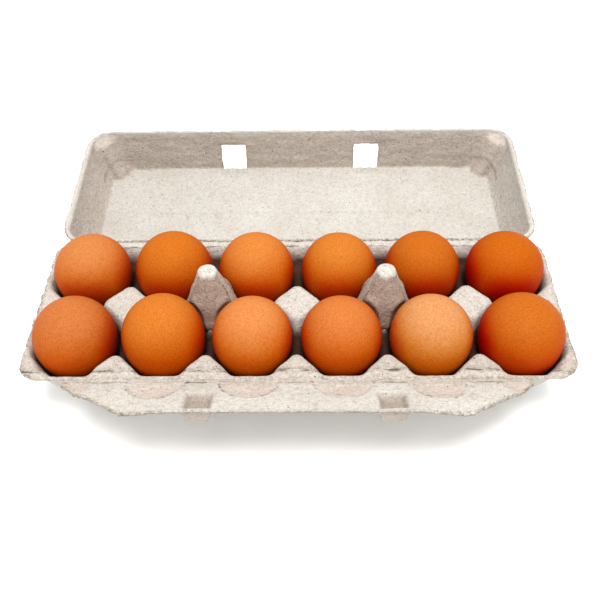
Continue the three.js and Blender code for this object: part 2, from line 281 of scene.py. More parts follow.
def pulp_material():
    """Pale recycled pulp. Matted fibres of about a millimetre and a finer grain show as tan specks on
    white, with a few dark hairs, which lie where one noise passes its middle value, and dark flecks at the
    middles of scattered cells. Worn edges are tan and shredded, specked places hold more of the hairs and
    flecks, and splits are dark broken lines that run along x. Shade is painted in as well: hollows, webs,
    post faces and the flap's recesses and underside are made browner, shaded walls, webs and edges darker,
    and shaded walls, dishes, post faces and lower places a little redder."""
    made = bpy.data.materials.new("moulded_pulp")
    add = nodes_of(made)
    place = add("ShaderNodeTexCoord").outputs["Object"]
    worn, warm_shade, brown_shade, shaded, split, specked = (
        add("ShaderNodeAttribute", attribute_name=name).outputs["Fac"] for name in TINTS
    )
    cloud = between(add, blotches(add, place, 26.0, 3.0), 0.35, 0.65)
    colour = tinted(add, cloud, PULP_DULL, PULP_PALE)
    matted = between(add, blotches(add, place, 1.9, 4.0, 0.9, 0.62), 0.44, 0.66)
    share = between(add, specked, 0.0, 1.0, 0.36, 0.55)
    colour = tinted(add, times(add, matted, share), colour, MATTED_TAN)
    grain = between(add, blotches(add, place, 0.75, 3.0, 0.4, 0.7), 0.53, 0.70)
    share = between(add, specked, 0.0, 1.0, 0.50, 0.80)
    colour = tinted(add, times(add, grain, share), colour, GRAIN_BROWN)
    colour = tinted(add, warm_shade, colour, WARM_SHADE_CAST, "MULTIPLY")
    colour = tinted(add, brown_shade, colour, BROWN_SHADE_CAST, "MULTIPLY")
    colour = tinted(add, shaded, colour, SHADED_CAST, "MULTIPLY")
    shreds = between(add, blotches(add, place, 1.5, 3.0, 1.0), 0.40, 0.62)
    colour = tinted(add, times(add, times(add, worn, shreds), 0.88), colour, SHRED_BROWN)
    thread = blotches(add, place, 7.0, 1.5, 2.2)
    thread = add("ShaderNodeMath", {0: thread, 1: 0.5}, operation="SUBTRACT").outputs[0]
    thread = add("ShaderNodeMath", {0: thread}, operation="ABSOLUTE").outputs[0]
    hair = between(add, thread, 0.0, 0.009, 1.0, 0.0)
    broken = between(add, blotches(add, place, 4.0, 1.0), 0.51, 0.58)
    hair = times(add, hair, broken)
    faint = between(add, specked, 0.0, 1.0, 0.40, 0.85)
    colour = tinted(add, times(add, hair, faint), colour, HAIR_BROWN)
    cells = add("ShaderNodeTexVoronoi", {"Vector": place, "Scale": 1 / (3.2 * MM), "Randomness": 1.0})
    few = add("ShaderNodeSeparateColor", {0: cells.outputs["Color"]}).outputs[0]
    fewest = between(add, specked, 0.0, 1.0, 0.62, 0.20)
    reach = between(add, few, fewest, 1.0, 0.0, 0.17)
    near = add("ShaderNodeMath", {0: reach, 1: cells.outputs["Distance"]}, operation="SUBTRACT").outputs[0]
    fleck = between(add, near, 0.0, 0.03)
    colour = tinted(add, times(add, fleck, 0.8), colour, FLECK_DARK)
    drawn = add("ShaderNodeVectorMath", {0: place, 1: (0.16, 1, 1)}, operation="MULTIPLY").outputs[0]
    torn = times(add, split, between(add, blotches(add, drawn, 1.5, 3.0, 0.6), 0.46, 0.56))
    colour = tinted(add, torn, colour, TORN_DARK)
    fine = blotches(add, place, 0.9, 5.0, 0.5, 0.65)
    coarse = blotches(add, place, 3.2, 3.0, 0.6)
    height = add("ShaderNodeMath", {0: coarse, 1: 1.5, 2: fine}, operation="MULTIPLY_ADD").outputs[0]
    height = add("ShaderNodeMath", {0: hair, 1: 0.25, 2: height}, operation="MULTIPLY_ADD").outputs[0]
    height = add("ShaderNodeMath", {0: torn, 1: -0.8, 2: height}, operation="MULTIPLY_ADD").outputs[0]
    bump = add("ShaderNodeBump", {"Strength": 0.85, "Distance": 0.0006, "Height": height}).outputs[0]
    rough = between(add, fine, 0.3, 0.7, 0.88, 1.0)
    shader = add("ShaderNodeBsdfPrincipled", {"Base Color": colour, "Roughness": rough, "Normal": bump})
    shader.inputs["Specular IOR Level"].default_value = 0.2
    add("ShaderNodeOutputMaterial", {"Surface": shader.outputs[0]})
    return made


def cup_height(x, y, wall):
    """Height of the nearest cup's surface, moved outwards by wall. At each listed height the cup's radius
    is (flat + wall)(1 + octagon (1/cos(off) - 1)), off being the angle from the nearest eighth of a turn,
    and the height between two of them goes in proportion to the radius. Beyond the last the wall is nearly
    upright."""
    cx = PITCH_X * (np.clip(np.floor(x / PITCH_X), -COLUMNS // 2, COLUMNS // 2 - 1) + 0.5)
    cy = np.where(y < 0, -PITCH_Y / 2, PITCH_Y / 2)
    reach = np.hypot(x - cx, y - cy)
    angle = np.arctan2(y - cy, x - cx)
    off = angle - math.pi / 4 * np.round(angle / (math.pi / 4))
    radii = [(flat + wall) * (1 + octagon * (1 / np.cos(off) - 1))
             for flat, octagon in zip(CUP_FLAT, CUP_OCTAGON)]
    foot = CUP_Z[0] if wall == 0 else 0.0
    height = np.full(x.shape, foot)
    lows = (foot, *CUP_Z[1:])
    for i in range(len(radii) - 1):
        share = np.clip((reach - radii[i]) / (radii[i + 1] - radii[i]), 0, 1)
        height = height + share * (lows[i + 1] - lows[i])
    return height + 7 * np.maximum(0, reach - radii[-1])


def set_in(inset, slope):
    """How much narrower the top of a sloping block gets when all its faces move inwards by inset."""
    return inset * math.hypot(1, 1 / slope) - inset / slope


def deck_height(x, y, inset):
    """Height of the webs, rim and posts, every face moved inwards by inset: the highest of the flat web,
    the rim with its 60 degree inner slope, and the posts, which are blocks with sloping sides, steeper on
    the tall ones."""
    aside = set_in(inset, POST_SLOPE)
    well = np.minimum(WELL_HALF[0] + aside - np.abs(x), WELL_HALF[1] + aside - np.abs(y))
    height = np.maximum(WEB_Z - inset, RIM_Z - inset - POST_SLOPE * np.maximum(0, well))
    column = np.round(x / PITCH_X)
    inner = np.clip(column, 1 - COLUMNS // 2, COLUMNS // 2 - 1)
    tall = np.abs(inner) == 1

    def block(half, top, across, along, slope=POST_SLOPE):
        out = np.maximum(np.abs(across), np.abs(along)) - (half - set_in(inset, slope))
        return top - inset - slope * np.maximum(0, out)

    dx = x - inner * PITCH_X
    middle = np.where(tall, block(*TALL_POST, dx, y, TALL_SLOPE), block(*LOW_POST, dx, y))
    height = np.maximum(height, middle)
    sides = block(LOW_POST[0], RIM_Z, np.abs(x) - COLUMNS / 2 * PITCH_X, y)
    height = np.maximum(height, sides)
    rim_posts = np.where(y > STEP_Y + inset, block(*RIM_POST, dx, y + PITCH_Y), 0)
    return np.maximum(height, rim_posts)


def tray_plan():
    """The grid's places in plan. The rows across x step closer at both ends, where the outline turns its
    corner, and each row's y runs from edge to edge: the half width is 51 but for the corner's quarter
    circle."""
    straight = TRAY_HALF[0] - TRAY_CORNER
    turn = np.linspace(0, math.pi / 2, CORNER_ROWS)[1:]
    end = straight + TRAY_CORNER * np.sin(turn)
    x = np.concatenate([-end[::-1], np.linspace(-straight, straight, TRAY_ROWS), end])
    v = np.linspace(-1, 1, TRAY_COLUMNS)
    corner = np.maximum(0, np.abs(x) - straight)
    half = TRAY_HALF[1] - TRAY_CORNER + np.sqrt(np.maximum(0, TRAY_CORNER**2 - corner**2))
    xs = np.repeat(x[:, None], len(v), axis=1)
    ys = half[:, None] * v[None, :]
    notch = (ys < FLAP_NOTCH[1]) & (np.abs(xs) < FLAP_NOTCH[0])
    return xs, np.where(notch, FLAP_NOTCH[1], ys)


def edge_distance(x, y, half, corner):
    """How far a place lies inside a rounded rectangle."""
    qx, qy = np.abs(x) - half[0] + corner, np.abs(y) - half[1] + corner
    return corner - np.hypot(np.maximum(qx, 0), np.maximum(qy, 0)) - np.minimum(np.maximum(qx, qy), 0)


def rounded(distance, radius):
    """How far a surface has dropped at that distance from its edge, to round the edge to the radius."""
    t = np.clip(1 - distance / radius, 0, 1)
    return radius * (1 - np.sqrt(1 - t * t))


def frayed(points, distance, seed, reach=0.4):
    """The trimmed edge is ragged: close to it, points move by noise of 6 and 2.4 mm."""
    share = smooth_step(distance, 2.5, 0.0)[..., None]
    push = [0.8 * lattice_noise(points, 6.0, seed + k) + 0.7 * lattice_noise(points, 2.4, seed + 5 + k)
            for k in range(3)]
    return points + reach * share * np.stack(push, -1)


def tray_shell():
    """The tray but for the tops of the two tall posts, as a height over the plan for each side of the
    sheet."""
    x, y = tray_plan()
    inside = edge_distance(x, y, TRAY_HALF, TRAY_CORNER)
    top = np.minimum(deck_height(x, y, 0), cup_height(x, y, 0))
    under = np.minimum(deck_height(x, y, PULP), cup_height(x, y, PULP + 0.1))
    cut = top > TALL_CUT_Z + 0.4
    tall = np.abs(np.abs(x) - PITCH_X) < PITCH_X / 2
    top = soften(np.minimum(top, LOW_POST_CAP), 2) - rounded(inside, EDGE_TOP)
    under = soften(np.minimum(under, LOW_POST_UNDER), 2) + rounded(inside, EDGE_UNDER)
    under = np.minimum(under, top - THINNEST)
    middle = np.abs(y) < 22
    gone = cut & tall & middle
    keep = ~(gone[:-1, :-1] & gone[1:, :-1] & gone[1:, 1:] & gone[:-1, 1:])
    place = lambda z: np.stack([x, y + TRAY_Y, z], -1)
    face, back = uneven(place(top), 11), uneven(place(under), 31, 0.8)
    back[..., 2] = np.clip(back[..., 2], 0, None)
    at_end = np.abs(x) > WELL_HALF[0]
    fray = np.where(at_end, 0.75, 0.35)[..., None]
    face, back = frayed(face, inside, 51, fray), frayed(back, inside, 51, fray)
    # Painted shade: lower down among the cups the tray is made browner, darker and redder, but not on the back
    # rim; the front half posts and rim are made a little browner and redder, with a browner band and a dark
    # broken line along the step.
    rim_line = bell(y, RIM_LINE_Y, 0.55) * smooth_step(top, 33.0, 33.6)
    wavy = 0.8 * np.cos(x * math.pi / 24)
    fold_line = 0.8 * bell(y, REAR_FOLD_Y + wavy, 0.7) * smooth_step(np.abs(x), 134, 130)
    pitted = top + 1.6 * lattice_noise(face, 3.0, 62)
    front_shade = 0.22 * smooth_step(y, -36.0, -41.0) * smooth_step(y, -47.4, -45.8)
    step_shade = 0.45 * bell(y, STEP_LINE_Y, 1.1) * smooth_step(top, 34.0, 34.6)
    front_shade = np.maximum(front_shade, step_shade * (0.6 + 0.6 * lattice_noise(face, 2.5, 61)))
    front_warm_shade = 0.4 * smooth_step(y, -44.5, -48.0)
    low_warm_shade = 0.5 * smooth_step(top, 35.5, 31.0) * smooth_step(y, 46, 43)
    tints = {
        "like": top,
        "worn": smooth_step(inside, 3.4, 0.4) * np.where(at_end, 1.0, np.where(y > 0, 0.15, 0.5)),
        "warm_shade": np.maximum(front_warm_shade, low_warm_shade),
        "specked": 1.0,
        "brown_shade": np.maximum(smooth_step(pitted, 33.0, 23.5), front_shade),
        "shaded": smooth_step(pitted, 31.0, 26.0),
        "split": np.maximum(rim_line, fold_line),
    }
    return skin(face, back, keep), (tints, {"like": top})


def tall_post_shell(x0, seed):
    """The upper part of a tall post as rings round its axis. A ring's radius is the smaller of its
    section's, which goes from round at the top to square below and leans at 70 degrees, and the distance
    along the ray to the hollow that follows each of the four eggs. The top is nearly flat, its edge
    rounded."""
    around = np.linspace(0, 2 * math.pi, TALL_SIDES, endpoint=False)[None, :]
    cap = TALL_CAP

    def side(inset):
        top = TALL_POST[1] + TALL_CROWN - inset
        rise = np.concatenate([np.linspace(TALL_FOOT_Z, top - cap, TALL_RINGS),
                               top - cap + cap * np.sin(np.linspace(0, math.pi / 2, 9)[1:])])[:, None]
        half = TALL_POST[0] - set_in(inset, TALL_SLOPE) + (top - rise) / TALL_SLOPE
        c, s = np.abs(np.cos(around)), np.abs(np.sin(around))
        power = 2 + 5 * smooth_step(rise, 50, 34)
        square = half / (c**power + s**power) ** (1 / power)
        hollow = np.interp(rise + inset * 0.5, HOLLOW_Z, HOLLOW_FLAT) + 1.05 * inset
        reach = square
        for sx, sy in ((1, 1), (-1, 1), (-1, -1), (1, -1)):
            qx, qy = sx * PITCH_X / 2, sy * PITCH_Y / 2
            along = qx * np.cos(around) + qy * np.sin(around)
            miss = qx * qx + qy * qy - along * along
            hit = (along > 0) & (miss < hollow * hollow)
            ray = np.where(hit, along - np.sqrt(np.maximum(0, hollow * hollow - miss)), 60)
            blend = 0.45
            low, high = np.minimum(reach, ray), np.maximum(reach, ray)
            reach = low - blend * np.log1p(np.exp((low - high) / blend))
        dome = np.clip((rise - (top - cap)) / cap, 0, 1)
        reach = reach * (1 - dome * dome) ** 0.35
        if inset == 0:
            reach = reach + 0.45 * smooth_step(rise, 36, 34) - 1.2 * smooth_step(rise, 32.5, 29.5)
        return np.stack([x0 + reach * np.cos(around), TRAY_Y + reach * np.sin(around), rise + 0 * around], -1)

    face, back = uneven(side(0.0), seed, 1.0, True), side(PULP)
    face[-1] = face[-1].mean(axis=0)
    back[-1] = back[-1].mean(axis=0)
    height = face[..., 2] + 0.9 * lattice_noise(face, 2.2, seed + 5)
    ridge = np.abs(np.cos(around + 0.12 * lattice_noise(face, 7.0, seed + 6)))
    ridge = np.where(np.cos(around) * x0 < 0, ridge, ridge + 0.045)
    # Painted shade: below the pale cap the faces are made browner and redder, more so lower down, and less so
    # along the ridges, which are left lighter as a painted highlight on their lit edges.
    below_tip = smooth_step(height, *(TALL_POST[1] - drop for drop in TALL_PALE_TIP))
    shade = 0.46 * below_tip + 0.34 * smooth_step(height, 48, 32)
    tints = {
        "like": height,
        "specked": 1.0,
        "worn": 0.28 * below_tip,
        "warm_shade": 0.9 * below_tip,
        "brown_shade": shade * (1 - 0.75 * smooth_step(ridge, 0.955, 0.985)),
        "split": bell(ridge, 0.945, 0.012) * smooth_step(height, 54.0, 50.0),
    }
    return skin(face, back, wrap=True), (tints, {"like": height})


pulp = pulp_material()
tray_parts = [tray_shell(), tall_post_shell(-PITCH_X, 71), tall_post_shell(PITCH_X, 81)]
tray = piece(
    "tray_moulding",
    [shell for shell, _ in tray_parts],
    pulp,
    [tints for _, tints in tray_parts],
)
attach(tray, "tray")
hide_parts("tray")


# ---- Lid ----
# The lid is a shallow box of the same pulp with a lip all round, lying open behind the tray with its far
# end a little up. Its corners beside the lock side are pressed in as chamfered pads, and two holes in the
# far wall take the flap's buttons.

LID_HINGE = (50.6, RIM_Z + 0.2)
LID_TILT = math.radians(4.5)
LID_HALF_X = 146.8
LID_NEAR = 0.5
LID_LENGTH = 105.8
LIP_FRONT, LIP_BACK, LIP_SIDE = 0.6, 0.6, 1.6
ARCH_DROP, ARCH_FROM, ARCH_TO = 1.8, 86.0, 98.0
LID_DEPTH = 31.0
LID_CORNER = 14.0
LEAN_SIDE = math.tan(math.radians(16))
LEAN_FRONT = math.tan(math.radians(10))
LID_STEEP = 0.09
LID_FILLET = 1.4
PAD_PUSH, PAD_CORNER, PAD_TOP, PAD_LEDGE, PAD_NOSE = 3.0, 14.0, 3.2, 5.4, 3.6
LOCK_X = 47.3
HOLE_HALF, HOLE_LOW, HOLE_HIGH = 8.7, 11.2, 30.5
LIP_LEVELS = 22


def lid_bow(fall, lean):
    """The back and side walls start steep and lean more towards the floor: steep fall + (lean - steep)
    fall^2/depth."""
    return fall * LID_STEEP + (lean - LID_STEEP) * fall * fall / LID_DEPTH


def lid_ring_walk():
    """Where a ring's points lie: for each, the corner it starts from and the angle there, the corner it
    goes to and the angle there, how far it is on the way, and its place along a long side, if it is on
    one."""
    turn = np.linspace(0, math.pi / 2, 17)
    across = np.linspace(0, 1, 62)[1:-1]
    holes = np.array([LOCK_X - HOLE_HALF, LOCK_X + HOLE_HALF])
    right = np.concatenate([np.linspace(0, holes[0], 34), np.linspace(holes[0], holes[1], 16)[1:],
                            np.linspace(holes[1], 118, 50)[1:]])
    side_x = np.concatenate([-right[:0:-1], right])[::-1]
    walk = []
    for quarter in range(4):
        start = quarter * math.pi / 2
        walk += [(quarter, start + a, quarter, start + a, 0, np.nan) for a in turn]
        follow = (quarter + 1) % 4
        ahead = (quarter + 1) * math.pi / 2
        if quarter % 2:
            walk += [(quarter, ahead, follow, ahead, f, np.nan) for f in across]
        else:
            xs = side_x if quarter == 0 else -side_x
            walk += [(quarter, ahead, follow, ahead, 0.5, x) for x in xs]
    return np.array(walk).T


RING = lid_ring_walk()


def lid_rings(front, back, side, fall, depth):
    """Rings of the lid, one for each level: rounded rectangles that lie inside the lip's outer edge by
    front, back and side, and further in by how far the walls have come in at that fall. The far corners are
    pushed in below a ledge, the more in a rounded nose at their middle, and the lip's front drops in an
    arch. Levels run down the first axis of the result."""
    front, back, side, fall, depth = (np.asarray(v, float)[:, None] for v in (front, back, side, fall, depth))
    far = LID_LENGTH - front - fall * LEAN_FRONT
    near = LID_NEAR + back + lid_bow(fall, LEAN_FRONT)
    half_x = LID_HALF_X - side - lid_bow(fall, LEAN_SIDE)
    half_y = (far - near) / 2
    pad = smooth_step(fall, PAD_TOP, PAD_LEDGE)
    far_corner = (LID_CORNER - front) * (1 - pad) + PAD_CORNER * pad
    near_corner = LID_CORNER - side
    q0, a0, q1, a1, way, along = (v[None, :] for v in RING)

    def arc(quarter, angle):
        sx = np.where((quarter == 0) | (quarter == 3), 1, -1)
        sy = np.where(quarter < 2, 1, -1)
        r = np.where(sy > 0, far_corner, near_corner)
        return sx * (half_x - r) + r * np.cos(angle), sy * (half_y - r) + r * np.sin(angle)

    (x0, y0), (x1, y1) = arc(q0, a0), arc(q1, a1)
    x, y = x0 + (x1 - x0) * way, y0 + (y1 - y0) * way
    fit = np.minimum(1, (half_x - far_corner) / 120)
    x = np.where(np.isnan(along), x, np.nan_to_num(along) * fit)
    aside = np.maximum(0, np.abs(x) - half_x + far_corner)
    beyond = np.maximum(0, y - half_y + far_corner)
    chamfer = 2 * aside * beyond / (far_corner * far_corner)
    nose = PAD_NOSE * smooth_step(chamfer, 0.55, 0.95) * (0.35 + 0.65 * fall / LID_DEPTH)
    push = pad * (PAD_PUSH * chamfer + nose) * math.sqrt(0.5)
    x, y = x - np.sign(x) * push, y - push + (far + near) / 2
    drop = np.where(fall > 0, 0, ARCH_DROP) * smooth_step(y, ARCH_FROM, ARCH_TO)
    return np.stack([x, y, -depth - drop], -1)


def lid_levels(outside):
    """The levels of one side of the lid's sheet, from the lip's edge over the rim and down the wall to the
    floor's edge: the share of the lip passed, the extra set-in of the fillet, the fall and the depth."""
    lip = np.array([0, 0.12, 0.3, 0.55, 0.8, 1.0])
    falls = np.concatenate([[0.7, 1.4, 2.1, 2.8, 3.6, 4.4, 5.2, 6.0], np.linspace(7.2, HOLE_LOW, 5),
                            np.linspace(HOLE_LOW, LID_DEPTH - LID_FILLET, 15)[1:]])
    turn = np.linspace(0, math.pi / 2, 6)[1:]
    fillet = LID_FILLET * (1 - np.cos(turn))
    down = LID_DEPTH - LID_FILLET + LID_FILLET * np.sin(turn)
    share = np.concatenate([lip, np.ones(len(falls) + len(turn))])
    by = np.concatenate([0 * lip, 0 * falls, fillet])
    fall = np.concatenate([0 * lip, falls, down])
    depth = fall + (PULP if outside else 0)
    return share, by, fall, depth


def lid_side(outside):
    """One side of the sheet as rings: lip, wall and fillet, then the floor, which shrinks ring by ring to a
    slot."""
    share, by, fall, depth = lid_levels(outside)
    wall = 0 if outside else PULP
    rings = lid_rings(share * (LIP_FRONT + wall) + by, share * (LIP_BACK + wall) + by,
                      share * (LIP_SIDE + wall) + by, fall, depth)
    edge = rings[-1]
    centre = (edge[:, 1].max() + edge[:, 1].min()) / 2
    reach = (edge[:, 1].max() - edge[:, 1].min()) / 2
    steps = np.linspace(0, 1, 32)[1:, None]
    squeezed = reach * (1 - steps) + 0.5 * steps
    x = edge[None, :, 0] * (1 - steps * (reach - 6) / np.abs(edge[:, 0]).max())
    y = centre + (edge[None, :, 1] - centre) * squeezed / reach
    floor = np.stack([x, y, np.full(x.shape, -depth[-1])], -1)
    return np.concatenate([rings, floor])


def opened_lid(points):
    """From the lid's own frame to the carton's: turned up by the tilt about the hinge line."""
    y, z = points[..., 1], points[..., 2] + RIM_Z - LID_HINGE[1]
    c, s = math.cos(LID_TILT), math.sin(LID_TILT)
    return np.stack([points[..., 0], y * c - z * s + LID_HINGE[0] + TRAY_Y, y * s + z * c + LID_HINGE[1]], -1)


def lid_shell():
    """Both sides of the lid, softened across the levels of the lip and wall, with the two lock holes left
    open, and the slot in the middle of the floor closed by joining each of its points to the one across
    from it."""
    inner, outer = lid_side(False), lid_side(True)
    distance = np.hypot(inner - inner[:1], 0).sum(-1)
    for side in (inner, outer):
        side[:LIP_LEVELS] = soften(side[:LIP_LEVELS], 2, (0,))
    inner[..., 2] -= rounded(distance, EDGE_TOP)
    outer[:6, :, 2] += rounded(distance[:6], EDGE_UNDER)
    middle = (inner[:-1] + inner[1:]) / 2
    middle = (middle + np.roll(middle, -1, axis=1)) / 2
    across = np.abs(np.abs(middle[..., 0]) - LOCK_X) < HOLE_HALF
    deep = (-middle[..., 2] > HOLE_LOW) & (-middle[..., 2] < HOLE_HIGH)
    keep = ~(across & deep & (middle[..., 1] > LID_LENGTH - 14))
    wrinkled = inner * [0.35, 1, 1]
    on_wall = smooth_step(distance, 4, 8) * smooth_step(distance, 34, 30)
    wrinkle = 0.32 * lattice_noise(wrinkled, 4.0, 171) * on_wall
    inner[..., 1] += wrinkle * (inner[..., 1] > LID_LENGTH / 2)
    inner, outer = uneven(inner, 101, 1.0, True), uneven(outer, 131, 0.8, True)
    inner, outer = frayed(inner, distance, 151, 0.6), frayed(outer, distance, 151, 0.6)
    hole = np.hypot(np.maximum(0, np.abs(np.abs(inner[..., 0]) - LOCK_X) - HOLE_HALF),
                    np.maximum(0, np.abs(-inner[..., 2] - (HOLE_LOW + HOLE_HIGH) / 2) - 9.6))
    at_hole = smooth_step(hole, 2.4, 0.4) * (inner[..., 1] > LID_LENGTH - 14)
    ragged = lattice_noise(inner, 1.7, 161) * 0.45 * at_hole
    for side in (inner, outer):
        side[..., 0] += ragged
        side[..., 2] += np.roll(ragged, 3, axis=1)
    points, faces = skin(opened_lid(inner), opened_lid(outer), keep, True)
    columns = inner.shape[1]
    last = (inner.shape[0] - 1) * columns
    ring = np.arange(columns)
    slot = points[last:last + columns]
    far_side = ring[slot[:, 1] > slot[:, 1].mean()]
    far_side = far_side[np.argsort(slot[far_side, 0])]
    near_side = ring[slot[:, 1] < slot[:, 1].mean()]
    near_side = near_side[np.argsort(slot[near_side, 0])]
    count = min(len(far_side), len(near_side))
    far_side, near_side = far_side[:count] + last, near_side[:count] + last
    strip = np.stack([near_side[:-1], near_side[1:], far_side[1:], far_side[:-1]], -1)
    below = strip[:, ::-1] + inner.shape[0] * columns
    # Painted shade: inside the lip the lid is made a little darker, more so on the left and less on the end
    # walls, and its walls redder, the end walls less so; a painted shadow rings the foot of each corner pad's
    # nose, and a line of brown painted shade runs along the lip's inner edge but for the far rim.
    wall = smooth_step(distance, 4.5, 8.0) * smooth_step(-inner[..., 2], LID_DEPTH + 0.2, LID_DEPTH - 1.2)
    x, y = inner[..., 0], inner[..., 1]
    pad_foot_shadow = bell(distance, 37.5, 1.6) * (y > LID_LENGTH - 30) * (np.abs(x) > 108)
    fold_line = bell(y, 1.4, 0.6) * (distance < 4)
    end_wall = smooth_step(np.abs(x), 112, 126) * smooth_step(y, LID_LENGTH - 18, LID_LENGTH - 28)
    left = smooth_step(x, 0, -110)
    wall_shade = (0.05 + 0.07 * left) * (1 - end_wall * wall)
    far_rim = smooth_step(y, LID_LENGTH - 16, LID_LENGTH - 6)
    rim_tear = 0.75 * far_rim * bell(distance, 2.5, 0.45)
    tints = {
        "like": distance,
        "worn": np.maximum(smooth_step(distance, 1.8, 0.1) * (1 - 0.3 * far_rim), 0.35 * at_hole),
        "specked": 0.15 + 0.45 * wall,
        "warm_shade": wall * (0.9 - end_wall * (0.6 - 0.5 * left)),
        "brown_shade": 0.25 * bell(distance, 3.4, 0.8) * (1 - far_rim),
        "shaded": np.maximum(wall_shade, 0.45 * pad_foot_shadow) * smooth_step(distance, 1, 5),
        "split": np.maximum(0.25 * fold_line, rim_tear),
    }
    return (points, np.concatenate([faces, strip, below])), (tints, {"like": distance, "worn": tints["worn"]})


lid_made, lid_tints = lid_shell()
lid = piece("lid_moulding", [lid_made], pulp, [lid_tints])
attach(lid, "lid")
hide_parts("lid")


# ---- Lock flap ----
# The flap is part of the same sheet, leaning out and up in front of the tray, and it tucks inside the shut
# lid. It has a dish in front of each egg, two hollow buttons that snap into the lid's holes, and a soft
# ragged ear at each end.

FLAP_HINGE = (-52.0, RIM_Z - 0.8)
FLAP_TILT = math.radians(30)
FLAP_ROOT, FLAP_SHEET, FLAP_FULL = 1.0, 1.8, 7.0
FLAP_MIDDLE, FLAP_EAR, EAR_FROM, EAR_TO, EAR_DROOP = 33.2, 31.4, 58.0, 82.0, 2.8
OUTLINE_V = (0.0, 5.5, 13.0, 26.0, 33.2)
OUTLINE_HALF = (121.5, 120.5, 112.5, 94.0, 84.0)
DENT_HALF, DENT_REACH, DENT_DEPTH, DENT_UNDER = 16.0, 20.0, 2.2, 0.6
BUTTON_HALF, BUTTON_NEAR, BUTTON_FAR, BUTTON_RISE, BUTTON_TAPER = 7.6, 13.1, 31.6, 6.0, 1.9
RECESS_DEPTH, RECESS_TAPER = 3.4, 3.4
FLAP_ROWS, FLAP_COLUMNS = 62, 342


def dished(u, v):
    """The dish in front of the nearest egg: one less the squares of the shares of its half width and of its
    reach, and how deep it is, from 0 to 1, which goes as the square root of that and fades in at the
    hinge."""
    nearest = PITCH_X * (np.round(u / PITCH_X - 0.5) + 0.5)
    bowl = 1 - ((u - nearest) / DENT_HALF) ** 2 - (v / DENT_REACH) ** 2
    return bowl, np.sqrt(np.clip(bowl, 0, 1) + 0.04) * smooth_step(bowl, -0.10, 0.22) * smooth_step(v, 0.5, 7)


def button(u, v, inset, taper):
    """How far in from a button's sides a place lies, as a share of the taper, from 0 outside to 1 on its
    flat end."""
    aside = BUTTON_HALF - inset - np.abs(np.abs(u) - LOCK_X)
    along = np.minimum((v - BUTTON_NEAR - inset) * taper / (taper + 1.2), BUTTON_FAR - inset - v)
    return smooth_step(np.minimum(aside, along), 0.0, taper)


